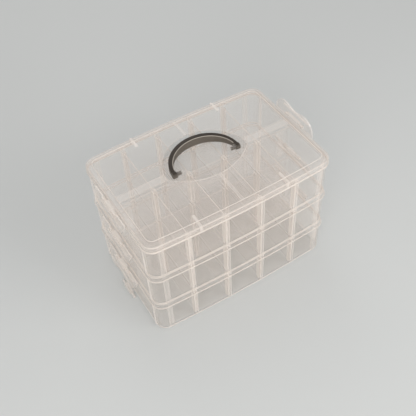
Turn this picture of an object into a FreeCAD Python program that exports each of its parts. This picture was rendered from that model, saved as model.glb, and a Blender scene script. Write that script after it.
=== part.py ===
import FreeCAD, Part
import math
import os

from FreeCAD import Vector

# A stack of three clear trays under a lid with a folding carry handle.
# Each tray holds two rows of cells, parted by a middle wall and loose dividers.
# Snap latches hang at both ends of the lid and of the two upper trays.
# Millimetres, +Z up, +X along the stack, origin under its middle.

# Stack
tier_names = ("bottom", "middle", "upper")
tier_pitch = 54.0
foot_depth = 2.0
overrun = 1.0

# Plan shape that lid and trays share
long_side_bow = 3.2
rim_half_length = 125.0
rim_half_depth = 82.0
rim_corner_radius = 14.0

# Tray walls
flange_reach = 1.8
wall_draft = 0.8
wall_corner_radius = 20.0
tray_wall = 1.8
tray_floor = 1.8
flange_drop = 6.0
flange_thickness = 1.6
foot_clearance = 0.4
foot_width = 2.4
corner_rib_width = 2.4
corner_rib_height = 0.5

# Cells and dividers
divider_columns = 4
middle_wall = 2.0
end_post_width = 4.4
end_post_depth = 2.4
divider_drop = 6.6
slot_gap = 2.6
slot_depth = 4.0
slot_rib = 1.6
slot_end_clearance = 0.4
slot_side_clearance = 0.3
divider_thickness = 1.4
divider_bead_width = 3.2
divider_corner_radius = 2.5

# Latch and its hinge
hinge_reach = 2.9
hinge_rise = 1.0
hinge_block_width = 16.0
hinge_block_radius = 2.6
axle_radius = 1.5
axle_clearance = 0.06
axle_end_clearance = 0.4
knuckle_radius = 2.5
knuckle_length = 4.4
knuckle_mouth = 2.5
slot_window = 4.6
window_depth = 3.8
latch_thickness = 1.8
latch_half_width = 37.0
latch_lobe_offset = 20.0
latch_lobe_length = 17.6
latch_dip_length = 14.0
latch_top_edge = 1.6
hook_reach = 3.1
hook_height = 2.4
hook_clearance = 0.2
hook_half_width = 25.0
latch_shoulder_shares = ((0.915, 0.54), (0.745, 0.88))
hang_angle = 14.0
raised_angle = 180.0

# Lid
skirt_clearance = 0.3
lid_wall = 1.8
border_width = 7.5
border_edge_radius = 2.0
lid_headroom = 1.2
panel_rise = 1.6
panel_corner_radius = 8.0
rib_rise = 0.8
spine_width = 10.0
cross_rib_width = 4.0
strap_width = 3.0
strap_offset = 58.0

# Well for the handle
well_half_length = 54.7
well_back = 49.5
well_front = 29.0
well_side = 10.0
well_floor = 1.6
well_wall = 1.6
well_clearance = 0.6
gate_radius = 2.2

# Handle and its pivots
handle_half_width = 46.0
handle_back = 41.4
handle_leg_thickness = 5.0
handle_grip_thickness = 6.8
handle_leg_height = 6.8
handle_grip_height = 12.0
handle_edge_radius = 1.6
handle_eye_radius = 4.0
handle_floor_clearance = 0.6
handle_sections = 13
pivot_pin_radius = 2.4
pivot_pin_length = 6.0
pivot_clearance = 0.06
pivot_end_clearance = 0.5
pivot_side_clearance = 0.4
pivot_lug_length = 9.0
pivot_lug_radius = 3.6
pivot_rib_length = 14.0
pivot_rib_width = 2.4

# Values worked out from the ones above
wall_top_half_length = rim_half_length - flange_reach
wall_top_half_depth = rim_half_depth - flange_reach
wall_base_half_length = wall_top_half_length - wall_draft
wall_base_half_depth = wall_top_half_depth - wall_draft
cell_pitch = 2 * (wall_base_half_length - tray_wall) / (divider_columns + 1)
tray_height = tier_pitch
stack_top = foot_depth + tier_pitch * len(tier_names)
flange_top = tray_height - flange_drop
divider_top = tray_height - divider_drop
axle_x = rim_half_length + hinge_reach
axle_to_flange = flange_drop + flange_thickness + hinge_rise
lid_seat = stack_top - flange_drop
lid_axle_z = lid_seat - flange_thickness + axle_to_flange
border_top = stack_top + lid_headroom + lid_wall
panel_top = border_top + panel_rise
panel_half_length = rim_half_length - border_width
panel_half_depth = rim_half_depth - border_width
well_bottom = stack_top - divider_drop + well_clearance
well_floor_top = well_bottom + well_floor
pivot_z = well_floor_top + handle_floor_clearance + handle_grip_height / 2
knuckle_start = hinge_block_width / 2 + slot_window
knuckle_end = knuckle_start + knuckle_length
UP = Vector(0, 0, 1)
ALONG_X = Vector(1, 0, 0)
ALONG_Y = Vector(0, 1, 0)


def box(low, high):
    """Block between two corners."""
    size = Vector(*high) - Vector(*low)
    return Part.makeBox(size.x, size.y, size.z, Vector(*low))


def fused(first, others):
    """One solid from a body and the features that grow out of it."""
    return first.multiFuse(others).removeSplitter()


def arc(start, middle, end):
    """Edge of the arc through three points."""
    return Part.Arc(Vector(*start), Vector(*middle), Vector(*end)).toShape()


def line(start, end):
    """Straight edge between two points."""
    return Part.makeLine(Vector(*start), Vector(*end))


def bowed_outline(half_length, half_depth, radius, z):
    """Closed plan outline: straight ends, round corners, bowed long sides."""
    x_in = half_length - radius
    y_in = half_depth - radius
    slant = radius * math.sqrt(0.5)
    edges = []
    for side in (1, -1):
        edges.append(line((side * half_length, -side * y_in, z), (side * half_length, side * y_in, z)))
        edges.append(arc((side * half_length, side * y_in, z),
                         (side * (x_in + slant), side * (y_in + slant), z),
                         (side * x_in, side * half_depth, z)))
        edges.append(arc((side * x_in, side * half_depth, z),
                         (0, side * (half_depth + long_side_bow), z),
                         (-side * x_in, side * half_depth, z)))
        edges.append(arc((-side * x_in, side * half_depth, z),
                         (-side * (x_in + slant), side * (y_in + slant), z),
                         (-side * half_length, side * y_in, z)))
    return Part.Wire(Part.__sortEdges__(edges))


def prism(wire, height):
    """Straight extrusion of a closed outline."""
    return Part.Face(wire).extrude(UP * height)


def drafted(lower, upper):
    """Ruled solid between two like outlines."""
    return Part.makeLoft([lower, upper], True, True)


def bar_along_y(radius, half_length, x, z):
    """Round bar across the stack, centred on the middle plane."""
    return Part.makeCylinder(radius, half_length * 2, Vector(x, -half_length, z), ALONG_Y)


def mirrored_ends(shape):
    """A feature of the right end and its twin on the left end."""
    twin = shape.copy()
    twin.rotate(Vector(0, 0, 0), UP, 180)
    return [shape, twin]


def divider_places():
    """Distance of each divider column from the middle of the tray."""
    first = -(divider_columns - 1) / 2
    return [(first + column) * cell_pitch for column in range(divider_columns)]


def hinge_features(root_x, web_bottom, z):
    """Hinge block and axle of the right end."""
    half = hinge_block_width / 2
    web = box((root_x, -half, web_bottom), (axle_x, half, z + hinge_block_radius))
    nose = bar_along_y(hinge_block_radius, half, axle_x, z)
    axle = bar_along_y(axle_radius, knuckle_end - axle_end_clearance, axle_x, z)
    return web.fuse([nose, axle]).removeSplitter()


def slot_ribs(shell):
    """Pairs of ribs that guide the dividers, on both long walls and the middle wall."""
    ribs = []
    wall_rib_start = wall_base_half_depth - tray_wall - slot_depth
    wall_rib_end = rim_half_depth + long_side_bow
    middle_reach = middle_wall / 2 + slot_depth
    for x in divider_places():
        for side in (1, -1):
            near = x + side * slot_gap / 2
            far = near + side * slot_rib
            low_x, high_x = min(near, far), max(near, far)
            ribs.append(box((low_x, -middle_reach, 0), (high_x, middle_reach, divider_top)))
            for row in (1, -1):
                low_y, high_y = sorted((row * wall_rib_start, row * wall_rib_end))
                ribs.append(box((low_x, low_y, 0), (high_x, high_y, divider_top)).common(shell))
    return ribs


def corner_ribs():
    """Upright ribs where the round corners meet the walls, on the outside."""
    ribs = []
    top = flange_top - flange_thickness / 2
    half = corner_rib_width / 2
    end_y = wall_base_half_depth - wall_corner_radius
    side_x = wall_base_half_length - wall_corner_radius
    for x_side in (1, -1):
        for y_side in (1, -1):
            x_near = x_side * (wall_base_half_length - tray_wall / 2)
            x_far = x_side * (wall_top_half_length + corner_rib_height)
            y_mid = y_side * end_y
            ribs.append(box((min(x_near, x_far), y_mid - half, 0),
                            (max(x_near, x_far), y_mid + half, top)))
            y_near = y_side * (wall_base_half_depth - tray_wall / 2)
            y_far = y_side * (wall_top_half_depth + corner_rib_height)
            x_mid = x_side * side_x
            ribs.append(box((x_mid - half, min(y_near, y_far), 0),
                            (x_mid + half, max(y_near, y_far), top)))
    return ribs


def tray():
    """Open tray whose shoulder lies at height zero, with its foot below."""
    shell = drafted(bowed_outline(wall_base_half_length, wall_base_half_depth, wall_corner_radius, 0),
                    bowed_outline(wall_top_half_length, wall_top_half_depth,
                                  wall_corner_radius, tray_height))
    flange = prism(bowed_outline(rim_half_length, rim_half_depth, rim_corner_radius,
                                 flange_top - flange_thickness), flange_thickness)
    inner_radius = wall_corner_radius - tray_wall
    cavity = drafted(bowed_outline(wall_base_half_length - tray_wall, wall_base_half_depth - tray_wall,
                                   inner_radius, tray_floor),
                     bowed_outline(wall_top_half_length - tray_wall, wall_top_half_depth - tray_wall,
                                   inner_radius, tray_height + overrun))
    foot_inset = tray_wall + foot_clearance
    foot_radius = wall_corner_radius - foot_inset
    foot = prism(bowed_outline(wall_top_half_length - foot_inset, wall_top_half_depth - foot_inset,
                               foot_radius, -foot_depth), foot_depth)
    hollow_inset = foot_inset + foot_width
    hollow = prism(bowed_outline(wall_top_half_length - hollow_inset, wall_top_half_depth - hollow_inset,
                                 foot_radius - foot_width, -foot_depth), foot_depth)
    wall_half = wall_base_half_length - tray_wall / 2
    partition = box((-wall_half, -middle_wall / 2, 0), (wall_half, middle_wall / 2, divider_top))
    open_shell = shell.fuse([flange] + corner_ribs()).cut(cavity)
    inner_end = wall_base_half_length - tray_wall
    post = box((inner_end - end_post_depth, -end_post_width / 2, 0),
               (wall_half, end_post_width / 2, divider_top))
    hinge = hinge_features(wall_half, 0, hinge_rise)
    inside = [foot.cut(hollow), partition] + mirrored_ends(post) + slot_ribs(shell)
    return fused(open_shell, inside + mirrored_ends(hinge))


def divider(x, row):
    """Loose divider with thickened edges that slide in the slots."""
    inner = middle_wall / 2 + slot_end_clearance
    outer = wall_base_half_depth - tray_wall - slot_end_clearance
    half = divider_thickness / 2
    bead_half = slot_gap / 2 - slot_side_clearance
    plate = box((x - half, inner, tray_floor), (x + half, outer, divider_top))
    beads = []
    for start in (inner, outer - divider_bead_width):
        beads.append(box((x - bead_half, start, tray_floor),
                         (x + bead_half, start + divider_bead_width, divider_top)))
    solid = fused(plate, beads)
    corners = [edge for edge in solid.Edges
               if edge.BoundBox.ZMin > divider_top - slot_side_clearance
               and (edge.BoundBox.YMax < inner + slot_side_clearance
                    or edge.BoundBox.YMin > outer - slot_side_clearance)]
    solid = solid.makeFillet(divider_corner_radius, corners)
    if row < 0:
        solid.rotate(Vector(x, 0, 0), UP, 180)
    return solid


def latch_outline():
    """Free edge of the latch: two thumb lobes with a dip between, square at the hinge."""
    right = [(latch_half_width, 0)]
    for across, down in latch_shoulder_shares:
        right.append((latch_half_width * across, latch_lobe_length * down))
    right.append((latch_lobe_offset, latch_lobe_length))
    right.append((latch_lobe_offset / 2, (latch_lobe_length + latch_dip_length) / 2))
    left = [(-y, s) for y, s in reversed(right)]
    points = [Vector(0, y, -s) for y, s in right + [(0, latch_dip_length)] + left]
    curve = Part.BSplineCurve()
    curve.interpolate(points)
    top = latch_top_edge
    return Part.Wire([curve.toShape(),
                      line((0, -latch_half_width, 0), (0, -latch_half_width, top)),
                      line((0, -latch_half_width, top), (0, latch_half_width, top)),
                      line((0, latch_half_width, top), (0, latch_half_width, 0))])


def latch():
    """Latch hanging shut on the right end, with its axle line at the origin."""
    half = latch_thickness / 2
    wire = latch_outline()
    plate = Part.Face(wire).extrude(ALONG_X * latch_thickness)
    plate.translate(ALONG_X * -half)
    hook_top = -(axle_to_flange + hook_clearance)
    hook_wire = Part.makePolygon([Vector(0, -hook_half_width, hook_top),
                                  Vector(-half - hook_reach, -hook_half_width, hook_top),
                                  Vector(0, -hook_half_width, hook_top - hook_height),
                                  Vector(0, -hook_half_width, hook_top)])
    hook = Part.Face(hook_wire).extrude(ALONG_Y * hook_half_width * 2)
    window = box((-latch_half_width, -knuckle_start, -window_depth),
                 (latch_half_width, knuckle_start, knuckle_radius + overrun))
    knuckles = []
    bores = []
    for side in (1, -1):
        start = min(side * knuckle_start, side * knuckle_end)
        knuckles.append(Part.makeCylinder(knuckle_radius, knuckle_length, Vector(0, start, 0), ALONG_Y))
        bores.append(Part.makeCylinder(axle_radius + axle_clearance, knuckle_length,
                                       Vector(0, start, 0), ALONG_Y))
        bores.append(box((-knuckle_mouth / 2, start, 0),
                         (knuckle_mouth / 2, start + knuckle_length, knuckle_radius + overrun)))
    return fused(plate, [hook]).cut(window).fuse(knuckles).cut(Part.makeCompound(bores)).removeSplitter()


def placed_latch(shape, side, z, angle):
    """Latch swung out by an angle from shut, at one end of the stack."""
    piece = shape.copy()
    piece.rotate(Vector(0, 0, 0), ALONG_Y, -angle)
    piece.translate(Vector(axle_x, 0, z))
    if side < 0:
        piece.rotate(Vector(0, 0, 0), UP, 180)
    return piece


def well_outline(inset, z):
    """Plan outline of the handle well: two arcs joined by short straight sides."""
    x = well_half_length - inset
    y = well_side / 2
    return Part.Wire([line((x, -y, z), (x, y, z)),
                      arc((x, y, z), (0, well_back - inset, z), (-x, y, z)),
                      line((-x, y, z), (-x, -y, z)),
                      arc((-x, -y, z), (0, -well_front + inset, z), (x, -y, z))])


def lid_ribs():
    """Raised ribs on top of the lid: a spine, a cross rib and straps over the border."""
    ribs = []
    top = panel_top + rib_rise
    root = border_top - lid_wall / 2
    half_spine = spine_width / 2
    half_cross = cross_rib_width / 2
    panel_edge = panel_half_depth + long_side_bow
    ribs += mirrored_ends(box((well_half_length, -half_spine, root),
                              (panel_half_length, half_spine, top)))
    ribs.append(box((-half_cross, well_back, root), (half_cross, panel_edge, top)))
    ribs.append(box((-half_cross, -panel_edge, root), (half_cross, -well_front, top)))
    half_strap = strap_width / 2
    strap_top = border_top + rib_rise
    for x in (-strap_offset, 0, strap_offset):
        for side in (1, -1):
            start = side * (panel_half_depth - border_width)
            end = side * (rim_half_depth + long_side_bow)
            ribs.append(box((x - half_strap, min(start, end), root),
                            (x + half_strap, max(start, end), strap_top)))
    return ribs


def pivot_lug():
    """Lug in the well that carries the right end of the handle, with its stiffening rib."""
    outer = handle_half_width - handle_leg_thickness - pivot_side_clearance
    inner = outer - pivot_lug_length
    root = well_bottom + well_floor / 2
    block = box((inner, -pivot_lug_radius, root), (outer, pivot_lug_radius, pivot_z))
    crown = Part.makeCylinder(pivot_lug_radius, pivot_lug_length, Vector(inner, 0, pivot_z), ALONG_X)
    rib_face = -pivot_rib_width / 2
    rib_tip = inner - pivot_rib_length
    rib_wire = Part.makePolygon([Vector(inner, rib_face, pivot_z),
                                 Vector(rib_tip, rib_face, well_floor_top),
                                 Vector(rib_tip, rib_face, root),
                                 Vector(inner, rib_face, root),
                                 Vector(inner, rib_face, pivot_z)])
    rib = Part.Face(rib_wire).extrude(ALONG_Y * pivot_rib_width)
    depth = pivot_pin_length + pivot_end_clearance
    bore = Part.makeCylinder(pivot_pin_radius + pivot_clearance, depth,
                             Vector(outer - depth, 0, pivot_z), ALONG_X)
    return fused(block, [crown, rib]).cut(bore)


def lid():
    """Lid with a raised panel, a stepped border, ribs, the handle well and the end hinges."""
    skirt = prism(bowed_outline(rim_half_length, rim_half_depth, rim_corner_radius, lid_seat),
                  border_top - lid_seat)
    rim = [edge for edge in skirt.Edges if edge.BoundBox.ZMin > border_top - border_edge_radius]
    skirt = skirt.makeFillet(border_edge_radius, rim)
    panel = prism(bowed_outline(panel_half_length, panel_half_depth, panel_corner_radius, lid_seat),
                  panel_top - lid_seat)
    envelope = prism(bowed_outline(rim_half_length, rim_half_depth, rim_corner_radius, lid_seat),
                     panel_top + rib_rise - lid_seat)
    ribs = Part.makeCompound(lid_ribs()).common(envelope)
    skirt_inner = wall_top_half_length + skirt_clearance
    skirt_inner_depth = wall_top_half_depth + skirt_clearance
    skirt_radius = rim_corner_radius - (rim_half_length - skirt_inner)
    cavity = prism(bowed_outline(skirt_inner, skirt_inner_depth, skirt_radius, lid_seat - overrun),
                   border_top - lid_wall - lid_seat + overrun)
    ceiling = prism(bowed_outline(panel_half_length - lid_wall, panel_half_depth - lid_wall,
                                  panel_corner_radius - lid_wall, lid_seat),
                    panel_top - lid_wall - lid_seat)
    shell = fused(skirt, [panel] + ribs.Solids).cut(cavity.fuse(ceiling))
    well = prism(well_outline(-well_wall, well_bottom), panel_top - well_bottom)
    pocket = prism(well_outline(0, well_floor_top), panel_top + rib_rise + overrun - well_floor_top)
    hinge = hinge_features(rim_half_length - lid_wall / 2, lid_axle_z - hinge_block_radius, lid_axle_z)
    hinge = hinge.cut(cavity)
    body = fused(shell, [well] + mirrored_ends(hinge)).cut(pocket)
    gate = Part.makeCylinder(gate_radius, well_floor, Vector(0, 0, well_bottom + well_floor / 2))
    return fused(body, mirrored_ends(pivot_lug()) + [gate])


def handle_section(turn):
    """Rounded section of the handle at one angle round its bow."""
    swell = math.sin(turn)
    thickness = handle_leg_thickness + (handle_grip_thickness - handle_leg_thickness) * swell
    height = handle_leg_height + (handle_grip_height - handle_leg_height) * swell
    across = handle_half_width - handle_leg_thickness / 2
    back = handle_back - handle_grip_thickness / 2
    centre = Vector(across * math.cos(turn), back * math.sin(turn), pivot_z)
    outward = Vector(back * math.cos(turn), across * math.sin(turn), 0)
    outward.normalize()
    half = thickness / 2
    rise = height / 2
    inset = handle_edge_radius * (1 - math.sqrt(0.5))
    edge = handle_edge_radius
    spots = []
    for u_sign, z_sign, along in ((1, 1, True), (-1, 1, False), (-1, -1, True), (1, -1, False)):
        upright = (u_sign * half, z_sign * (rise - edge))
        slanted = (u_sign * (half - inset), z_sign * (rise - inset))
        level = (u_sign * (half - edge), z_sign * rise)
        spots.append((upright, slanted, level) if along else (level, slanted, upright))
    edges = []
    for index, corner in enumerate(spots):
        points = [centre + outward * u + UP * v for u, v in corner]
        edges.append(Part.Arc(*points).toShape())
        following = spots[(index + 1) % len(spots)][0]
        edges.append(Part.makeLine(points[2], centre + outward * following[0] + UP * following[1]))
    return Part.Wire(edges)


def handle():
    """Bow handle folded back into its well, with a pin at each end."""
    steps = handle_sections - 1
    sections = [handle_section(math.pi * step / steps) for step in range(handle_sections)]
    bow = Part.makeLoft(sections, True, False)
    inner = handle_half_width - handle_leg_thickness
    eye = Part.makeCylinder(handle_eye_radius, handle_leg_thickness, Vector(inner, 0, pivot_z), ALONG_X)
    pin = Part.makeCylinder(pivot_pin_radius, pivot_pin_length + overrun,
                            Vector(inner - pivot_pin_length, 0, pivot_z), ALONG_X)
    return fused(bow, mirrored_ends(eye) + mirrored_ends(pin))


def save(name, shape):
    """Write one piece to its own file and report it."""
    shape.exportStep("parts/" + name + ".step")
    print(name, len(shape.Solids), shape.isValid(), round(shape.Volume))


os.makedirs("parts", exist_ok=True)

one_tray = tray()
one_latch = latch()
for tier, tier_name in enumerate(tier_names):
    shoulder = Vector(0, 0, foot_depth + tier_pitch * tier)
    save(tier_name + "_tray", one_tray.translated(shoulder))
    number = 0
    for row in (1, -1):
        for place in divider_places():
            number += 1
            save(tier_name + "_divider_" + str(number), divider(place, row).translated(shoulder))
    if tier > 0:
        axle_z = shoulder.z + hinge_rise
        save(tier_name + "_latch_left", placed_latch(one_latch, -1, axle_z, hang_angle))
        save(tier_name + "_latch_right", placed_latch(one_latch, 1, axle_z, hang_angle))
save("lid", lid())
save("lid_latch_left", placed_latch(one_latch, -1, lid_axle_z, hang_angle))
save("lid_latch_right", placed_latch(one_latch, 1, lid_axle_z, raised_angle))
save("carry_handle", handle())
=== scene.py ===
import logging
import math
from dataclasses import dataclass, field
from enum import Enum
from typing import Callable, Iterable, Sequence, Union

import bpy
from mathutils import Matrix, Vector


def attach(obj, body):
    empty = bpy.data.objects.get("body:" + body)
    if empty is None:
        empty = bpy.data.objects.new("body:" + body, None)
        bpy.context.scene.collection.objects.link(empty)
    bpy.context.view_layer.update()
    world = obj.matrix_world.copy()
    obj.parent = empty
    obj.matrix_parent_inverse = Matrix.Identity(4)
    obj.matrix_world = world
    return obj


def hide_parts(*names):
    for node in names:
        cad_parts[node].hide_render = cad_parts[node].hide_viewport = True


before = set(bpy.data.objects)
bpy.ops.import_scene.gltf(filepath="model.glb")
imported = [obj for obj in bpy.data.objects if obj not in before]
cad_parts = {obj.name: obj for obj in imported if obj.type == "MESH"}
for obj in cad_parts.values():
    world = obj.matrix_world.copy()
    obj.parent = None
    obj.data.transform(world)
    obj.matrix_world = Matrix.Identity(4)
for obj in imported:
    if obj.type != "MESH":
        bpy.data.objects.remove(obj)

# Looks of a clear storage organizer: three divided trays, a lid, snap latches and a carry handle.

LOG = logging.getLogger("organizer")
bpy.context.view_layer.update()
MM = 0.001
LYING = 0.7  # share of a normal along an axis above which a face counts as facing it
LIP_SIDES = 8
TIERS = ("bottom", "middle", "upper")
Colour = tuple[float, float, float]
Point = tuple[float, float, float]
Edge = tuple[int, int]


class Slot(Enum):
    """Material slots of the record that the scene's own pieces take."""

    TRAY = "tray"
    LID = "lid"
    HANDLE = "handle"


class Value:
    """A number in a shader graph. Its operators add Math nodes."""

    def __init__(self, graph: "Graph", socket: bpy.types.NodeSocket) -> None:
        """Keep the graph and the socket that gives the number."""
        self.graph = graph
        self.socket = socket

    def __add__(self, other: "Number") -> "Value":
        """Sum."""
        return self.graph.math("ADD", self, other)

    __radd__ = __add__

    def __sub__(self, other: "Number") -> "Value":
        """Difference."""
        return self.graph.math("SUBTRACT", self, other)

    def __rsub__(self, other: "Number") -> "Value":
        """Difference from a number."""
        return self.graph.math("SUBTRACT", other, self)

    def __mul__(self, other: "Number") -> "Value":
        """Product."""
        return self.graph.math("MULTIPLY", self, other)

    __rmul__ = __mul__

    def __truediv__(self, other: "Number") -> "Value":
        """Quotient."""
        return self.graph.math("DIVIDE", self, other)

    def __pow__(self, other: "Number") -> "Value":
        """Power."""
        return self.graph.math("POWER", self, other)

    def __abs__(self) -> "Value":
        """Size without sign."""
        return self.graph.math("ABSOLUTE", self)

    def __lt__(self, other: "Number") -> "Value":
        """One where the value is below the limit."""
        return self.graph.math("LESS_THAN", self, other)

    def __gt__(self, other: "Number") -> "Value":
        """One where the value is above the limit."""
        return self.graph.math("GREATER_THAN", self, other)

    def __or__(self, other: "Number") -> "Value":
        """The larger of two masks."""
        return self.graph.math("MAXIMUM", self, other)

    def near(self, middle: float, reach: float) -> "Value":
        """One where the value lies within reach of the middle."""
        return self.graph.math("COMPARE", self, middle, reach)


Number = Union[Value, float]
Feed = Union[Value, float, Sequence[float], bpy.types.NodeSocket]


class Graph:
    """One material's node tree, with its Principled shader."""

    def __init__(self, name: str) -> None:
        """Start an empty material of that name.

        Args:
            name: Name of the material.
        """
        self.material = bpy.data.materials.new(name)
        self.material.use_nodes = True
        self.tree = self.material.node_tree
        self.tree.nodes.clear()
        self.shader = self.node("ShaderNodeBsdfPrincipled")
        self.node("ShaderNodeOutputMaterial", {}, {"Surface": self.shader.outputs["BSDF"]})
        coordinates = self.node("ShaderNodeTexCoord")
        self.place = coordinates.outputs["Object"]
        self.normal = coordinates.outputs["Normal"]

    def node(self, kind: str, settings: dict[str, object] | None = None,
             inputs: dict[str | int, Feed] | None = None) -> bpy.types.Node:
        """Add a node, set it up and feed its sockets.

        Args:
            kind: Type name of the node.
            settings: Properties that are set first.
            inputs: Values or links by socket name or number.

        Returns:
            The new node.
        """
        made = self.tree.nodes.new(kind)
        for key, setting in (settings or {}).items():
            setattr(made, key, setting)
        for key, feed in (inputs or {}).items():
            self.feed(made.inputs[key], feed)
        return made

    def feed(self, socket: bpy.types.NodeSocket, feed: Feed) -> None:
        """Link a socket or set its value.

        Args:
            socket: Socket that is fed.
            feed: A shader value, a socket or plain numbers.
        """
        if isinstance(feed, Value):
            self.tree.links.new(feed.socket, socket)
        elif isinstance(feed, bpy.types.NodeSocket):
            self.tree.links.new(feed, socket)
        else:
            socket.default_value = feed

    def math(self, operation: str, *terms: Number) -> Value:
        """Add a Math node.

        Args:
            operation: Operation of the node.
            terms: Its operands in order.

        Returns:
            The result as a value.
        """
        made = self.node("ShaderNodeMath", {"operation": operation}, dict(enumerate(terms)))
        return Value(self, made.outputs[0])

    def parts_of(self, vector: bpy.types.NodeSocket) -> tuple[Value, Value, Value]:
        """Split a vector into its three values."""
        split = self.node("ShaderNodeSeparateXYZ", {}, {0: vector})
        return Value(self, split.outputs[0]), Value(self, split.outputs[1]), Value(self, split.outputs[2])

    def noise(self, scale: float, detail: float, stretch: Point = (1, 1, 1)) -> Value:
        """Soft noise fixed to the piece.

        Args:
            scale: Patches to the metre.
            detail: Number of finer layers.
            stretch: Scale along each axis.

        Returns:
            Noise between zero and one.
        """
        spot = self.place
        if stretch != (1, 1, 1):
            spot = self.node("ShaderNodeMapping", {}, {"Vector": spot, "Scale": stretch}).outputs[0]
        made = self.node("ShaderNodeTexNoise", {}, {"Vector": spot, "Scale": scale, "Detail": detail})
        return Value(self, made.outputs[0])

    def blend(self, share: Value, low: Colour, high: Colour) -> bpy.types.NodeSocket:
        """Mix two colours by a share.

        Args:
            share: Zero for the first colour, one for the second.
            low: First colour.
            high: Second colour.

        Returns:
            Socket of the mixed colour.
        """
        made = self.node("ShaderNodeMix", {"data_type": "RGBA"})
        self.feed(made.inputs[0], share)
        made.inputs[6].default_value = (*low, 1)
        made.inputs[7].default_value = (*high, 1)
        return made.outputs[2]

    def facing(self) -> Value:
        """Zero where the surface faces the eye, one at its outline, for the gloss of clear plastic."""
        made = self.node("ShaderNodeLayerWeight", {}, {"Blend": 0.5})
        return Value(self, made.outputs["Facing"])

    def bump(self, height: Value, depth: float) -> None:
        """Feed a bump to the shader's normal.

        Args:
            height: Height of the pattern between zero and one.
            depth: Depth of the pattern in metres.
        """
        made = self.node("ShaderNodeBump", {}, {"Height": height, "Distance": depth, "Strength": 1.0})
        self.feed(self.shader.inputs["Normal"], made.outputs[0])

    def set(self, **inputs: Feed) -> None:
        """Set the shader's sockets, with underscores for spaces in their names."""
        for key, feed in inputs.items():
            self.feed(self.shader.inputs[key.replace("_", " ")], feed)


@dataclass(frozen=True)
class ClearPlastic:
    """Milky clear polypropylene.

    Long walls are nearly clear, end walls milkier, floors hazy, ribs and cut edges whiter: the ribs are
    thicker plastic, and the whiter edges are partly thicker plastic and partly a painted highlight.
    """

    name: str
    wall: float = 0.024
    floor: float = 0.094
    end_wall: float = 0.044
    grazing: float = 10.0
    rib: float = 0.30
    edge: float = 0.5
    body: Colour = (0.82, 0.75, 0.69)
    pale: Colour = (0.95, 0.875, 0.81)
    roughness: float = 0.18
    roughness_range: float = 0.14
    flow_scale: float = 26.0
    flow_stretch: Point = (1, 1, 0.4)
    flow_low: float = 0.75
    flow_range: float = 0.5
    most: float = 0.96
    ior: float = 1.49
    gloss: float = 0.6

    def material(self, masks: Callable[[Graph], tuple[Number, Number]]) -> bpy.types.Material:
        """Make the material.

        Args:
            masks: Gives the rib mask and the edge mask of the piece.

        Returns:
            The finished material.
        """
        graph = Graph(self.name)
        rib, edge = masks(graph)
        flow = graph.noise(self.flow_scale, 1, self.flow_stretch)
        outline = graph.facing()
        endways, _, upward = graph.parts_of(graph.normal)
        film = self.wall + (self.floor - self.wall) * (abs(upward) > LYING)
        film = film + (self.end_wall - self.wall) * (abs(endways) > LYING)
        thin = (self.flow_low + self.flow_range * flow) * film * (1 + self.grazing * outline ** 3)
        alpha = graph.math("MINIMUM", thin + self.rib * rib + self.edge * edge, self.most)
        whiter = graph.math("MINIMUM", rib + edge, 1.0)
        graph.set(Base_Color=graph.blend(whiter, self.body, self.pale),
                  Roughness=self.roughness + self.roughness_range * flow,
                  Alpha=alpha, IOR=self.ior, Specular_IOR_Level=self.gloss)
        return graph.material


@dataclass(frozen=True)
class SatinPlastic:
    """Opaque satin plastic with a fine moulded grain, painted lighter on its upright faces and darker on
    its level faces, as painted light and shade.
    """

    name: str
    # level is the painted-shade colour of faces that lie flat, upright the painted-light colour of faces
    # that stand up.
    level: Colour
    upright: Colour
    roughness: float = 0.34
    roughness_range: float = 0.16
    cloud_scale: float = 70.0
    cloud_share: float = 0.3
    grain_scale: float = 2600.0
    grain_share: float = 0.12
    grain_depth: float = 0.03 * MM
    painted_light_offset: float = 1.15
    ior: float = 1.5
    gloss: float = 0.2

    def material(self) -> bpy.types.Material:
        """Make the material."""
        graph = Graph(self.name)
        cloud = graph.noise(self.cloud_scale, 2)
        grain = graph.noise(self.grain_scale, 1)
        upward = abs(graph.parts_of(graph.normal)[2])
        uneven = self.cloud_share * (cloud - 0.5) + self.grain_share * (grain - 0.5)
        # Painted light and shade: upright faces blend towards the lighter colour and level faces towards
        # the darker one, with random cloud and grain mixed in.
        share = graph.math("SMOOTH_MIN", self.painted_light_offset - upward + uneven, 1.0, 0.1)
        graph.set(Base_Color=graph.blend(share, self.level, self.upright),
                  Roughness=self.roughness + self.roughness_range * cloud,
                  IOR=self.ior, Specular_IOR_Level=self.gloss)
        graph.bump(grain, self.grain_depth)
        return graph.material


@dataclass(frozen=True)
class PlainFloor:
    """Pale matt floor."""

    name: str = "pale_floor"
    colour: Colour = (0.62, 0.63, 0.62)
    shade: float = 0.985
    patches: float = 3.0
    roughness: float = 0.9
    gloss: float = 0.1

    def material(self) -> bpy.types.Material:
        """Make the material."""
        graph = Graph(self.name)
        soft = graph.noise(self.patches, 1)
        darker = tuple(self.shade * part for part in self.colour)
        graph.set(Base_Color=graph.blend(soft, darker, self.colour),
                  Roughness=self.roughness, Specular_IOR_Level=self.gloss)
        return graph.material


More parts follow.
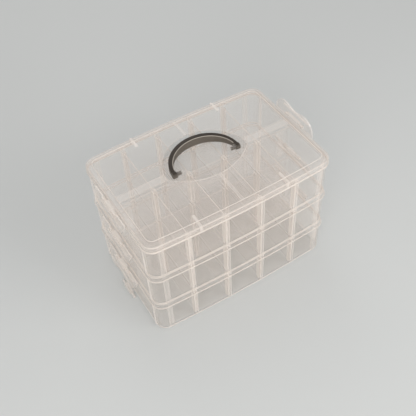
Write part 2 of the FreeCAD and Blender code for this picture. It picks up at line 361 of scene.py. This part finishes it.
@dataclass
class PlanShape:
    """Plan outline that lid and trays share: straight ends, round corners, bowed long sides."""

    bow: float = 3.2 * MM
    corner_steps: int = 10
    side_steps: int = 28

    def rise(self, x: float, x_in: float) -> float:
        """Rise of a bowed side.

        Args:
            x: Distance from its middle.
            x_in: Half its length.

        Returns:
            Rise above its ends.
        """
        bow_radius = (x_in * x_in + self.bow * self.bow) / (2 * self.bow)
        return self.bow - bow_radius + math.sqrt(bow_radius * bow_radius - x * x)

    def outline(self, half_length: float, half_depth: float, radius: float, z: float) -> list[Vector]:
        """Points round the outline.

        Args:
            half_length: Half the length along X.
            half_depth: Half the depth at the ends of the long sides.
            radius: Corner radius.
            z: Height of the outline.

        Returns:
            Points in order, without the closing one.
        """
        x_in = half_length - radius
        y_in = half_depth - radius
        half: list[Vector] = []
        for step in range(self.corner_steps + 1):
            turn = math.pi / 2 * step / self.corner_steps
            half.append(Vector((x_in + radius * math.cos(turn), y_in + radius * math.sin(turn), z)))
        for step in range(1, self.side_steps):
            x = x_in * (1 - 2 * step / self.side_steps)
            half.append(Vector((x, half_depth + self.rise(x, x_in), z)))
        for step in range(self.corner_steps + 1):
            turn = math.pi / 2 * (1 + step / self.corner_steps)
            half.append(Vector((-x_in + radius * math.cos(turn), y_in + radius * math.sin(turn), z)))
        return half + [Vector((-p.x, -p.y, p.z)) for p in half]


class NodeTool:
    """A Geometry Nodes tree that turns paths or places into a mesh."""

    def __init__(self, name: str, inputs: dict[str, str]) -> None:
        """Start a tree with a geometry input, named inputs and a geometry output.

        Args:
            name: Name of the tree.
            inputs: Socket type of each named input.
        """
        self.tree = bpy.data.node_groups.new(name, "GeometryNodeTree")
        face = self.tree.interface
        face.new_socket("Geometry", in_out="INPUT", socket_type="NodeSocketGeometry")
        self.sockets = {key: face.new_socket(key, in_out="INPUT", socket_type=kind).identifier
                        for key, kind in inputs.items()}
        face.new_socket("Geometry", in_out="OUTPUT", socket_type="NodeSocketGeometry")
        self.inward = self.tree.nodes.new("NodeGroupInput")

    def add(self, kind: str, links: dict[str | int, object], **settings: object) -> bpy.types.Node:
        """Add a node to the tree.

        Args:
            kind: Type name of the node.
            links: Sockets or plain values by input name or number.
            settings: Properties of the node.

        Returns:
            The new node.
        """
        made = self.tree.nodes.new(kind)
        for key, setting in settings.items():
            setattr(made, key, setting)
        for key, feed in links.items():
            if isinstance(feed, bpy.types.NodeSocket):
                self.tree.links.new(feed, made.inputs[key])
            else:
                made.inputs[key].default_value = feed
        return made

    def close(self, geometry: bpy.types.NodeSocket) -> None:
        """End the tree: realize, shade smooth, set the material.

        Args:
            geometry: Socket of the finished shape.
        """
        real = self.add("GeometryNodeRealizeInstances", {0: geometry})
        smooth = self.add("GeometryNodeSetShadeSmooth", {0: real.outputs[0]})
        dressed = self.add("GeometryNodeSetMaterial",
                           {0: smooth.outputs[0], "Material": self.inward.outputs["Finish"]})
        self.add("NodeGroupOutput", {0: dressed.outputs[0]})

    def make(self, name: str, points: Sequence[Vector], edges: Sequence[Edge],
             **values: object) -> bpy.types.Object:
        """Run the tree on points and edges and keep the result as a plain mesh.

        Args:
            name: Name of the piece.
            points: Points of the paths or places.
            edges: Edges between the points.
            values: Named inputs, with underscores for spaces.

        Returns:
            The finished object at the origin.
        """
        source = bpy.data.meshes.new(name + "_source")
        source.from_pydata([tuple(p) for p in points], list(edges), [])
        piece = bpy.data.objects.new(name, source)
        bpy.context.scene.collection.objects.link(piece)
        modifier = piece.modifiers.new("shape", "NODES")
        modifier.node_group = self.tree
        for key, feed in values.items():
            modifier[self.sockets[key.replace("_", " ")]] = feed
        graph = bpy.context.evaluated_depsgraph_get()
        plain = bpy.data.meshes.new_from_object(piece.evaluated_get(graph))
        piece.modifiers.clear()
        piece.data = plain
        plain.name = name
        bpy.data.meshes.remove(source)
        return piece


class LipTool(NodeTool):
    """Sweeps a round lip along paths."""

    def __init__(self) -> None:
        """Build the tree."""
        super().__init__("round_lip", {"Lip Radius": "NodeSocketFloat", "Lip Sides": "NodeSocketInt",
                                       "Finish": "NodeSocketMaterial"})
        paths = self.add("GeometryNodeMeshToCurve", {0: self.inward.outputs["Geometry"]})
        ring = self.add("GeometryNodeCurvePrimitiveCircle",
                        {"Resolution": self.inward.outputs["Lip Sides"],
                         "Radius": self.inward.outputs["Lip Radius"]})
        swept = self.add("GeometryNodeCurveToMesh", {0: paths.outputs[0], 1: ring.outputs[0],
                                                     "Fill Caps": True})
        self.close(swept.outputs[0])


class CapTool(NodeTool):
    """Sets one round cap bar, lying along Y, on each place."""

    def __init__(self) -> None:
        """Build the tree."""
        super().__init__("cap_bars", {"Bar Length": "NodeSocketFloat", "Bar Radius": "NodeSocketFloat",
                                      "Bar Sides": "NodeSocketInt", "Finish": "NodeSocketMaterial"})
        half = self.add("ShaderNodeMath", {0: self.inward.outputs["Bar Length"], 1: 0.5},
                        operation="MULTIPLY")
        back = self.add("ShaderNodeMath", {0: half.outputs[0], 1: -1.0}, operation="MULTIPLY")
        start = self.add("ShaderNodeCombineXYZ", {"Y": back.outputs[0]})
        end = self.add("ShaderNodeCombineXYZ", {"Y": half.outputs[0]})
        bar = self.add("GeometryNodeCurvePrimitiveLine", {"Start": start.outputs[0], "End": end.outputs[0]})
        ring = self.add("GeometryNodeCurvePrimitiveCircle",
                        {"Resolution": self.inward.outputs["Bar Sides"],
                         "Radius": self.inward.outputs["Bar Radius"]})
        swept = self.add("GeometryNodeCurveToMesh", {0: bar.outputs[0], 1: ring.outputs[0],
                                                     "Fill Caps": True})
        placed = self.add("GeometryNodeInstanceOnPoints", {"Points": self.inward.outputs["Geometry"],
                                                           "Instance": swept.outputs[0]})
        self.close(placed.outputs[0])


class Moulding:
    """Closed blocks of one moulded piece."""

    def __init__(self) -> None:
        """Start without blocks."""
        self.points: list[Point] = []
        self.faces: list[list[int]] = []

    def stack(self, loops: Sequence[Sequence[Vector]]) -> None:
        """Skin a closed solid over loops of equal length and cap its ends.

        Args:
            loops: Loops in order, each right-handed about the way to the last.
        """
        first = len(self.points)
        count = len(loops[0])
        for loop in loops:
            self.points += [tuple(p) for p in loop]
        self.faces.append([first + n for n in reversed(range(count))])
        for low in range(first, first + count * (len(loops) - 1), count):
            for n in range(count):
                m = (n + 1) % count
                self.faces.append([low + n, low + m, low + count + m, low + count + n])
        self.faces.append([len(self.points) - count + n for n in range(count)])

    def block(self, x: tuple[float, float], y: tuple[float, float], z: tuple[float, float]) -> None:
        """Add an upright block.

        Args:
            x: Its two ends along X, in any order.
            y: Its two ends along Y, in any order.
            z: Its bottom and top.
        """
        (x0, x1), (y0, y1) = sorted(x), sorted(y)
        corners = ((x0, y0), (x1, y0), (x1, y1), (x0, y1))
        self.stack([[Vector((a, b, level)) for a, b in corners] for level in z])

    def bar(self, x: float, z: float, radius: float, half: float, sides: int = 24) -> None:
        """Add a round bar along Y, centred on the middle plane.

        Args:
            x: Place of its axis along X.
            z: Height of its axis.
            radius: Its radius.
            half: Half its length.
            sides: Number of its sides.
        """
        turns = [2 * math.pi * n / sides for n in range(sides)]
        self.stack([[Vector((x + radius * math.sin(t), y, z + radius * math.cos(t))) for t in turns]
                    for y in (-half, half)])

    def piece(self, name: str) -> bpy.types.Object:
        """Make an object of the blocks."""
        mesh = bpy.data.meshes.new(name)
        mesh.from_pydata(self.points, [], self.faces)
        made = bpy.data.objects.new(name, mesh)
        bpy.context.scene.collection.objects.link(made)
        return made

    def fused(self, name: str, details: "Moulding", crease: float = 30.0) -> bpy.types.Mesh:
        """Fuse these blocks with their details into one skin.

        Args:
            name: Name of the mesh.
            details: Blocks that grow out of this one.
            crease: Angle in degrees above which an edge stays sharp.

        Returns:
            The fused mesh.
        """
        base, extra = self.piece(name), details.piece(name + "_details")
        union = base.modifiers.new("union", "BOOLEAN")
        union.operation = "UNION"
        union.solver = "EXACT"
        union.use_self = True
        union.object = extra
        graph = bpy.context.evaluated_depsgraph_get()
        mesh = bpy.data.meshes.new_from_object(base.evaluated_get(graph))
        for made in (base, extra):
            bpy.data.meshes.remove(made.data)
        mesh.polygons.foreach_set("use_smooth", [True] * len(mesh.polygons))
        mesh.set_sharp_from_angle(angle=math.radians(crease))
        mesh.materials.clear()
        return mesh


def rings(paths: Iterable[Sequence[Vector]], closed: bool = True) -> tuple[list[Vector], list[Edge]]:
    """Join paths into one list of points and edges.

    Args:
        paths: Points of each path.
        closed: Whether each path comes back to its start.

    Returns:
        All points, and the edges between them.
    """
    points: list[Vector] = []
    edges: list[Edge] = []
    for path in paths:
        first = len(points)
        points += path
        edges += [(first + n, first + n + 1) for n in range(len(path) - 1)]
        if closed:
            edges.append((len(points) - 1, first))
    return points, edges


def dress(node: str, material: bpy.types.Material) -> None:
    """Give a CAD node its material."""
    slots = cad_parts[node].data.materials
    slots.clear()
    slots.append(material)
    LOG.info("dressed %s", node)


def settle(piece: bpy.types.Object, body: str) -> None:
    """Let a piece ride on its body.

    Args:
        piece: The new piece.
        body: CAD body that carries it.
    """
    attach(piece, body)
    LOG.info("made %s with %d faces", piece.name, len(piece.data.polygons))


@dataclass
class Tray:
    """One tray with its shell, dividers, round lips and divider caps."""

    name: str
    shoulder: float
    rim_half_length: float = 125.0 * MM
    rim_half_depth: float = 82.0 * MM
    rim_radius: float = 14.0 * MM
    wall_half_length: float = 123.2 * MM
    wall_half_depth: float = 80.2 * MM
    wall_radius: float = 12.2 * MM
    base_half_length: float = 122.4 * MM
    base_half_depth: float = 79.4 * MM
    height: float = 54.0 * MM
    flange_top: float = 48.0 * MM
    flange: float = 1.6 * MM
    wall: float = 1.8 * MM
    foot_inset: float = 2.2 * MM
    foot_width: float = 2.4 * MM
    middle_half: float = 1.0 * MM
    post_half: float = 2.2 * MM
    post_depth: float = 2.4 * MM
    slot_depth: float = 2.8 * MM
    rib_height: float = 0.8 * MM
    block_half: float = 8.0 * MM
    block_radius: float = 2.6 * MM
    axle_x: float = 127.9 * MM
    axle_z: float = 1.0 * MM
    axle_radius: float = 1.5 * MM
    axle_half: float = 16.6 * MM
    lip_radius: float = 0.55 * MM
    lip_sunk: float = 0.6
    divider_top: float = 47.4 * MM
    divider_inner: float = 1.4 * MM
    divider_outer: float = 77.2 * MM
    cap_radius: float = 0.55 * MM
    cap_sink: float = 0.25 * MM
    cap_setback: float = 4.0 * MM
    columns: int = 4
    pitch: float = 48.24 * MM
    slot_half: float = 1.3 * MM
    column_half: float = 2.6 * MM
    column_end: float = 90.0 * MM
    side_rib: float = 107.5 * MM
    side_rib_half: float = 2.7 * MM
    end_rib: float = 66.0 * MM
    end_rib_half: float = 1.2 * MM
    block: float = 125.3 * MM
    foot: float = 2.0 * MM
    hair: float = 0.5 * MM
    shape: PlanShape = field(default_factory=PlanShape)

    def wall_loop(self, z: float, inset: float = 0.0) -> list[Vector]:
        """Outline of the drafted wall.

        Args:
            z: Height above the shoulder.
            inset: Distance inside the outer face.

        Returns:
            Points in order.
        """
        share = z / self.height
        length = self.base_half_length + (self.wall_half_length - self.base_half_length) * share
        depth = self.base_half_depth + (self.wall_half_depth - self.base_half_depth) * share
        return self.shape.outline(length - inset, depth - inset, self.wall_radius - inset, z)

    def foot_loop(self, inset: float, z: float) -> list[Vector]:
        """Outline of the foot ring at an inset from the top of the wall."""
        return self.shape.outline(self.wall_half_length - inset, self.wall_half_depth - inset,
                                  self.wall_radius - inset, z)

    def places(self) -> list[float]:
        """Place of each divider column along X."""
        return [(column - (self.columns - 1) / 2) * self.pitch for column in range(self.columns)]

    def mould(self) -> bpy.types.Mesh:
        """Make the shell of a tray, with its shoulder at height zero.

        Returns:
            The mesh of the shell with its foot, ribs and hinge axles.
        """
        shell = Moulding()
        self.skin(shell)
        details = Moulding()
        self.cells(details)
        self.outer_ribs(details)
        self.hinges(details)
        return shell.fused("tray_shell", details)

    def skin(self, shell: Moulding) -> None:
        """Add foot ring, walls, flange and floor, from the hollow under the foot to the inside."""
        hollow = self.foot_inset + self.foot_width
        under = self.flange_top - self.flange
        rim = (self.rim_half_length, self.rim_half_depth, self.rim_radius)
        shell.stack([self.foot_loop(hollow, 0), self.foot_loop(hollow, -self.foot),
                     self.foot_loop(self.foot_inset, -self.foot), self.foot_loop(self.foot_inset, 0),
                     self.wall_loop(0), self.wall_loop(under), self.shape.outline(*rim, under),
                     self.shape.outline(*rim, self.flange_top), self.wall_loop(self.flange_top),
                     self.wall_loop(self.height), self.wall_loop(self.height, self.wall),
                     self.wall_loop(self.wall, self.wall)])

    @property
    def wall_middle(self) -> tuple[float, float]:
        """Half length and half depth at the middle of the wall's thickness."""
        return self.base_half_length - self.wall / 2, self.base_half_depth - self.wall / 2

    def cells(self, details: Moulding) -> None:
        """Add the middle wall, its end posts and the slot ribs."""
        inside = (self.wall / 2, self.divider_top)
        end, _ = self.wall_middle
        details.block((-end, end), (-self.middle_half, self.middle_half), inside)
        reach = self.middle_half + self.slot_depth
        outer = self.base_half_depth - self.wall - self.slot_depth
        post = self.base_half_length - self.wall - self.post_depth
        for x in self.places():
            wall = self.base_half_depth - self.hair
            wall += self.shape.rise(x, self.base_half_length - self.wall_radius)
            for side in (1, -1):
                rib = (x + side * self.slot_half, x + side * self.column_half)
                details.block(rib, (-reach, reach), inside)
                for row in (1, -1):
                    details.block(rib, (row * outer, row * wall), inside)
        for turn in (1, -1):
            details.block((turn * post, turn * end), (-self.post_half, self.post_half), inside)

    def outer_ribs(self, details: Moulding) -> None:
        """Add the ribs on the outside of the long walls and the end walls."""
        outside = (self.hair / 2, self.flange_top - self.flange / 2)
        end, side = self.wall_middle
        end_face = self.wall_half_length + self.rib_height
        side_face = self.wall_half_depth + self.rib_height
        along = (self.side_rib - self.side_rib_half, self.side_rib + self.side_rib_half)
        across = (self.end_rib - self.end_rib_half, self.end_rib + self.end_rib_half)
        for turn in (1, -1):
            for mirror in (1, -1):
                details.block((turn * along[0], turn * along[1]),
                              (mirror * side, mirror * side_face), outside)
                details.block((turn * end, turn * end_face),
                              (mirror * across[0], mirror * across[1]), outside)

    def hinges(self, details: Moulding) -> None:
        """Add the hinge block and the axle at each end."""
        end, _ = self.wall_middle
        for turn in (1, -1):
            x = turn * self.axle_x
            details.block((turn * end, x), (-self.block_half, self.block_half),
                          (0, self.axle_z + self.block_radius))
            details.bar(x, self.axle_z, self.block_radius, self.block_half)
            details.bar(x, self.axle_z, self.axle_radius, self.axle_half)

    def place(self, shell: bpy.types.Mesh, plastic: bpy.types.Material) -> bpy.types.Object:
        """Set a copy of the shell at the height of this tray, in place of the plain solid.

        Args:
            shell: Mesh of the shell at height zero.
            plastic: Material of the tray.

        Returns:
            The new piece.
        """
        mesh = shell.copy()
        mesh.transform(Matrix.Translation((0, 0, self.shoulder)))
        mesh.materials.append(plastic)
        piece = bpy.data.objects.new(self.name + "_shell", mesh)
        bpy.context.scene.collection.objects.link(piece)
        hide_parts(self.name + "_tray")
        return piece

    def build(self, lips: LipTool, caps: CapTool, edge: bpy.types.Material,
              cap_edge: bpy.types.Material) -> list[bpy.types.Object]:
        """Make the lips along the flange and the top edge, and the caps on the dividers.

        Args:
            lips: Tool for the lips.
            caps: Tool for the caps.
            edge: Material of the lips.
            cap_edge: Material of the caps.

        Returns:
            The new pieces.
        """
        inset = self.lip_radius * self.lip_sunk
        levels = ((self.rim_half_length, self.rim_half_depth, self.rim_radius,
                   self.flange_top - self.flange / 2),
                  (self.wall_half_length, self.wall_half_depth, self.wall_radius,
                   self.height - self.lip_radius),
                  (self.base_half_length, self.base_half_depth, self.wall_radius, self.lip_radius))
        points, edges = rings(self.shape.outline(length - inset, depth - inset, radius, self.shoulder + z)
                              for length, depth, radius, z in levels)
        lip = lips.make(self.name + "_lips", points, edges, Lip_Radius=self.lip_radius,
                        Lip_Sides=LIP_SIDES, Finish=edge)
        length = self.divider_outer - self.divider_inner - self.cap_setback
        centre = (self.divider_outer + self.divider_inner) / 2
        z = self.shoulder + self.divider_top - self.cap_sink
        spots = [Vector((x, row * centre, z)) for row in (1, -1) for x in self.places()]
        cap = caps.make(self.name + "_divider_caps", spots, [], Bar_Length=length,
                        Bar_Radius=self.cap_radius, Bar_Sides=LIP_SIDES, Finish=cap_edge)
        return [lip, cap]

    def masks(self, graph: Graph) -> tuple[Number, Number]:
        """Ribs and thin edges of a tray.

        Args:
            graph: Material that reads them.

        Returns:
            The rib mask and the edge mask.
        """
        x, y, z = graph.parts_of(graph.place)
        level = graph.math("FLOORED_MODULO", z - self.foot, self.height)
        upright = abs(graph.parts_of(graph.normal)[2]) < LYING
        off_column = graph.math("PINGPONG", x - self.pitch / 2, self.pitch / 2)
        inner = self.middle_half + self.slot_depth + self.hair
        outer = self.base_half_depth - self.wall - self.slot_depth - self.hair
        beside = (abs(y) > outer) | (abs(y) < inner) * 1.3
        pair = (off_column < self.column_half) * (0.6 + 0.4 * (off_column > self.slot_half))
        columns = pair * (abs(x) < self.column_end) * beside
        side = abs(x).near(self.side_rib, self.side_rib_half) * 0.35
        side = side | abs(abs(x) - self.side_rib).near(self.side_rib_half, self.hair) * 0.7
        corners = side | abs(y).near(self.end_rib, self.end_rib_half)
        flange = level.near(self.flange_top - self.flange / 2, self.flange / 2 + self.hair)
        # The whiter crest is partly thicker plastic and partly a painted highlight.
        crest = level.near(self.divider_top, self.hair) * (abs(y) < inner)
        block = abs(x) > self.block
        return columns | corners * upright | flange * 0.3 | block * 0.6, crest * 0.25 | block * 0.15

    def finish(self, divider: bpy.types.Material) -> None:
        """Dress the dividers."""
        for number in range(1, 2 * self.columns + 1):
            dress(f"{self.name}_divider_{number}", divider)


@dataclass
class Lid:
    """Lid with round lips along its border, its panel and the handle well."""

    seat: float = 158.0 * MM
    half_length: float = 125.0 * MM
    half_depth: float = 82.0 * MM
    radius: float = 14.0 * MM
    border: float = 7.5 * MM
    border_top: float = 167.0 * MM
    border_edge: float = 2.0 * MM
    panel_top: float = 168.6 * MM
    rib_rise: float = 0.8 * MM
    spine: float = 10.0 * MM
    cross: float = 4.0 * MM
    panel_radius: float = 8.0 * MM
    well_half_length: float = 54.7 * MM
    well_back: float = 49.5 * MM
    well_front: float = 29.0 * MM
    well_side: float = 10.0 * MM
    well_steps: int = 32
    lip_radius: float = 0.5 * MM
    lip_sunk: float = 0.5
    line_radius: float = 0.35 * MM
    strap_offset: float = 58.0 * MM
    strap_half: float = 1.7 * MM
    strap_inner: float = 66.0 * MM
    block: float = 125.3 * MM
    hair: float = 0.2 * MM
    shape: PlanShape = field(default_factory=PlanShape)

    def well(self, z: float) -> list[Vector]:
        """Outline of the handle well.

        Args:
            z: Height of the outline.

        Returns:
            Points in order, without the closing one.
        """
        points: list[Vector] = []
        half = self.well_side / 2
        for side, reach in ((1, self.well_back), (-1, self.well_front)):
            rise = reach - half
            bow_radius = (self.well_half_length ** 2 + rise ** 2) / (2 * rise)
            swing = math.asin(self.well_half_length / bow_radius)
            for step in range(self.well_steps + 1):
                turn = swing * (1 - 2 * step / self.well_steps)
                x = bow_radius * math.sin(turn)
                y = half + rise - bow_radius * (1 - math.cos(turn))
                points.append(Vector((side * x, side * y, z)))
        return points

    def build(self, lips: LipTool, edge: bpy.types.Material) -> bpy.types.Object:
        """Make the lips.

        Args:
            lips: Tool for the lips.
            edge: Material of the lips.

        Returns:
            The new piece.
        """
        inset = self.lip_radius * self.lip_sunk
        shrink = self.border + inset
        paths = [self.shape.outline(self.half_length - inset, self.half_depth - inset, self.radius,
                                    self.seat + self.lip_radius),
                 self.shape.outline(self.half_length - shrink, self.half_depth - shrink,
                                    self.panel_radius, self.panel_top - inset)]
        points, edges = rings(paths)
        return lips.make("lid_lips", points, edges, Lip_Radius=self.lip_radius,
                         Lip_Sides=LIP_SIDES, Finish=edge)

    def inner_lips(self, lips: LipTool, edge: bpy.types.Material) -> bpy.types.Object:
        """Make the fainter lips round the border's top edge and the handle well.

        Args:
            lips: Tool for the lips.
            edge: Material of the lips.

        Returns:
            The new piece.
        """
        inset = self.lip_radius * self.lip_sunk
        shelf = self.border_edge * (1 - math.sqrt(0.5)) + inset
        paths = [self.shape.outline(self.half_length - shelf, self.half_depth - shelf, self.radius - shelf,
                                    self.border_top - shelf),
                 self.well(self.panel_top - inset)]
        points, edges = rings(paths)
        return lips.make("lid_soft_lips", points, edges, Lip_Radius=self.lip_radius,
                         Lip_Sides=LIP_SIDES, Finish=edge)

    def rib_lines(self, lips: LipTool, edge: bpy.types.Material) -> bpy.types.Object:
        """Make the thin bright lines along the top edges of the spine and the cross rib, beads whose whiter
        plastic is partly a painted highlight.

        Args:
            lips: Tool for the lips.
            edge: Material of the lines.

        Returns:
            The new piece.
        """
        z = self.panel_top + self.rib_rise - self.line_radius
        end = self.half_length - self.border
        front = self.half_depth - self.border + self.shape.bow
        paths: list[list[Vector]] = []
        for side in (1, -1):
            y = side * (self.spine / 2 - self.line_radius)
            x = side * (self.cross / 2 - self.line_radius)
            paths += [[Vector((turn * self.well_half_length, y, z)), Vector((turn * end, y, z))]
                      for turn in (1, -1)]
            paths += [[Vector((x, self.well_back, z)), Vector((x, front, z))],
                      [Vector((x, -self.well_front, z)), Vector((x, -front, z))]]
        points, edges = rings(paths, closed=False)
        return lips.make("lid_rib_lines", points, edges, Lip_Radius=self.line_radius,
                         Lip_Sides=LIP_SIDES, Finish=edge)

    def masks(self, graph: Graph) -> tuple[Number, Number]:
        """Ribs and thin edges of the lid.

        Args:
            graph: Material that reads them.

        Returns:
            The rib mask and the edge mask.
        """
        x, y, z = graph.parts_of(graph.place)
        rise = self.shape.bow * (1 - x * x / (self.half_length * self.half_length))
        rim = abs(x) > self.half_length - self.border
        rim = rim | (abs(y) - rise > self.half_depth - self.border)
        beyond = (abs(x) > self.well_half_length) | (abs(y) > self.well_front)
        ribs = (z > self.panel_top + self.hair) * beyond
        straps = abs(x).near(self.strap_offset, self.strap_half) * (abs(y) > self.strap_inner)
        block = abs(x) > self.block
        return rim * 0.28 | straps * 0.9 | ribs * 0.55 | block * 0.6, block * 0.15

    def finish(self, plastic: bpy.types.Material) -> None:
        """Dress the lid."""
        dress("lid", plastic)


@dataclass
class Latches:
    """The six snap latches."""

    owners: tuple[str, ...] = ("middle", "upper", "lid")

    def finish(self, plastic: bpy.types.Material) -> None:
        """Dress the latches."""
        for owner in self.owners:
            for side in ("left", "right"):
                dress(f"{owner}_latch_{side}", plastic)


def plate_masks(graph: Graph) -> tuple[Number, Number]:
    """Thin edges of a flat plate that stands across the stack.

    Args:
        graph: Material that reads them.

    Returns:
        The rib mask and the edge mask.
    """
    endways, _, up = graph.parts_of(graph.normal)
    # The whiter top faces are partly the thicker edge and partly a painted highlight.
    return (abs(endways) < LYING) * 0.3, (up > LYING) * 0.6


def lip_masks(graph: Graph) -> tuple[Number, Number]:
    """A lip is whiter all over: partly its real rounded, thicker edge and partly a painted highlight.

    Args:
        graph: Material that reads them.

    Returns:
        The rib mask and the edge mask.
    """
    return graph.noise(30, 1) * 0.4 + 0.8, 0.0


@dataclass
class Handle:
    """Folding carry handle with a pale line along its inner top edge, a bead whose pale colour is a painted
    highlight.
    """

    half_width: float = 46.0 * MM
    back: float = 41.4 * MM
    leg: float = 5.0 * MM
    grip: float = 6.8 * MM
    leg_height: float = 6.8 * MM
    grip_height: float = 12.0 * MM
    edge_radius: float = 1.6 * MM
    pivot: float = 166.2 * MM
    line_radius: float = 0.42 * MM
    steps: int = 48

    def inner_edge(self) -> list[Vector]:
        """Points along the inner top edge, from one leg to the other."""
        across = self.half_width - self.leg / 2
        reach = self.back - self.grip / 2
        inset = self.edge_radius * (1 - math.sqrt(0.5))
        points: list[Vector] = []
        for step in range(2, self.steps - 1):
            turn = math.pi * step / self.steps
            swell = math.sin(turn)
            half = (self.leg + (self.grip - self.leg) * swell) / 2
            rise = (self.leg_height + (self.grip_height - self.leg_height) * swell) / 2
            outward = Vector((reach * math.cos(turn), across * math.sin(turn), 0)).normalized()
            middle = Vector((across * math.cos(turn), reach * math.sin(turn), self.pivot))
            points.append(middle - outward * (half - inset) + Vector((0, 0, rise - inset)))
        return points

    def build(self, lips: LipTool, pale: bpy.types.Material) -> bpy.types.Object:
        """Make the pale line, a bead whose pale colour is a painted highlight.

        Args:
            lips: Tool for lips.
            pale: Material of the line.

        Returns:
            The new piece.
        """
        points, edges = rings([self.inner_edge()], closed=False)
        return lips.make("handle_highlight_line", points, edges, Lip_Radius=self.line_radius,
                         Lip_Sides=LIP_SIDES, Finish=pale)

    def finish(self, plastic: bpy.types.Material) -> None:
        """Dress the handle."""
        dress("carry_handle", plastic)


@dataclass
class Studio:
    """Floor, soft light and the camera at the photograph's angle."""

    azimuth: float = -28.565
    elevation: float = 48.808
    roll: float = -4.099
    distance: float = 924.78 * MM
    right: float = -5.973 * MM
    up: float = 52.858 * MM
    focal_px: float = 676.45
    frame_px: float = 416.0
    sensor: float = 36.0
    floor_half: float = 4.0
    world: float = 0.5
    clear_layers: int = 64

    def camera(self) -> None:
        """Place the camera."""
        turn, rise, lean = (math.radians(a) for a in (self.azimuth, self.elevation, self.roll))
        back = Vector((math.sin(turn) * math.cos(rise), -math.cos(turn) * math.cos(rise), math.sin(rise)))
        level = Vector((math.cos(turn), math.sin(turn), 0))
        upward = back.cross(level)
        right = level * math.cos(lean) + upward * math.sin(lean)
        top = upward * math.cos(lean) - level * math.sin(lean)
        data = bpy.data.cameras.new("camera")
        data.sensor_width = self.sensor
        data.lens = self.focal_px / self.frame_px * self.sensor
        data.clip_start = 0.01
        camera = bpy.data.objects.new("camera", data)
        spot = right * self.right + top * self.up + back * self.distance
        camera.matrix_world = Matrix.Translation(spot) @ Matrix((right, top, back)).transposed().to_4x4()
        bpy.context.scene.collection.objects.link(camera)
        bpy.context.scene.camera = camera

    def lamp(self, name: str, spot: Point, size: float, power: float,
             target: Point = (0, 0, 0.08)) -> None:
        """Hang one soft square lamp.

        Args:
            name: Name of the lamp.
            spot: Its place.
            size: Side of the square.
            power: Power in watts.
            target: Point that it faces.
        """
        data = bpy.data.lights.new(name, "AREA")
        data.shape = "SQUARE"
        data.size = size
        data.energy = power
        lamp = bpy.data.objects.new(name, data)
        lamp.location = spot
        lamp.rotation_euler = (Vector(target) - Vector(spot)).to_track_quat("-Z", "Y").to_euler()
        bpy.context.scene.collection.objects.link(lamp)

    def build(self) -> None:
        """Set up floor, light, camera and view."""
        half = self.floor_half
        mesh = bpy.data.meshes.new("floor")
        corners = [(-half, -half, 0), (half, -half, 0), (half, half, 0), (-half, half, 0)]
        mesh.from_pydata(corners, [], [(0, 1, 2, 3)])
        floor = bpy.data.objects.new("floor", mesh)
        mesh.materials.append(PlainFloor().material())
        bpy.context.scene.collection.objects.link(floor)
        world = bpy.data.worlds.new("studio")
        world.use_nodes = True
        sky = world.node_tree.nodes["Background"]
        sky.inputs["Color"].default_value = (1, 1, 1, 1)
        sky.inputs["Strength"].default_value = self.world
        scene = bpy.context.scene
        scene.world = world
        scene.view_settings.view_transform = "Standard"
        scene.cycles.transparent_max_bounces = self.clear_layers
        self.lamp("key", (-0.9, -1.1, 0.95), 1.0, 13.0)
        self.lamp("fill", (0.9, -1.3, 0.85), 1.0, 12.0)
        self.lamp("back", (0.3, 1.2, 1.1), 0.9, 4.0)
        self.camera()


def main() -> None:
    """Build the sub-assemblies in order, then the studio."""
    logging.basicConfig(level=logging.INFO, format="%(message)s")
    lips, caps = LipTool(), CapTool()
    trays = [Tray(name, Tray.foot + tier * Tray.height) for tier, name in enumerate(TIERS)]
    lid, latches, handle = Lid(), Latches(), Handle()
    plate = ClearPlastic("clear_divider", end_wall=0.024, edge=0.4).material(plate_masks)
    # A fainter copy of the divider plastic for the lower trays: painted shade for the lower tiers.
    shaded_low_plate = ClearPlastic("clear_low_divider_painted_shade", end_wall=0.024, rib=0.15,
                             edge=0.12).material(plate_masks)
    snap = ClearPlastic("clear_latch", wall=0.10, floor=0.08, end_wall=0.12, grazing=4.0,
                        rib=0.7, edge=0.35).material(plate_masks)
    # The lips' whiter plastics stand partly for the real rounded edges and partly for a painted highlight
    # along them.
    edge = ClearPlastic("bright_lip", rib=0.38).material(lip_masks)
    soft = ClearPlastic("soft_lip", rib=0.20).material(lip_masks)
    # A fainter copy of the lip plastic for the lower trays' divider caps: painted shade for the lower
    # tiers.
    shaded_lip = ClearPlastic("lower_cap_painted_shade", rib=0.12).material(lip_masks)
    tray_plastic = ClearPlastic("clear_tray").material(trays[0].masks)
    shell = trays[0].mould()
    for tray in trays:
        # The top tray takes the brighter plastics; the lower trays take the fainter copies, as painted
        # shade.
        top = tray is trays[-1]
        for piece in tray.build(lips, caps, edge, edge if top else shaded_lip):
            settle(piece, tray.name + "_tray")
        settle(tray.place(shell, tray_plastic), tray.name + "_tray")
        tray.finish(plate if top else shaded_low_plate)
    for piece in (lid.build(lips, edge), lid.inner_lips(lips, soft), lid.rib_lines(lips, soft)):
        settle(piece, "lid")
    lid.finish(ClearPlastic("clear_lid").material(lid.masks))
    latches.finish(snap)
    # Both satin plastics carry painted shade on their level faces and painted light on their upright faces.
    taupe = SatinPlastic("taupe_plastic", level=(0.026, 0.018, 0.013),
                         upright=(0.125, 0.108, 0.090)).material()
    # The pale line's pale colour is a painted highlight along the handle's inner top edge.
    pale = SatinPlastic("handle_painted_highlight", level=(0.40, 0.36, 0.31), upright=(0.50, 0.45, 0.39)).material()
    settle(handle.build(lips, pale), "carry_handle")
    handle.finish(taupe)
    Studio().build()


if __name__ == "__main__":
    main()
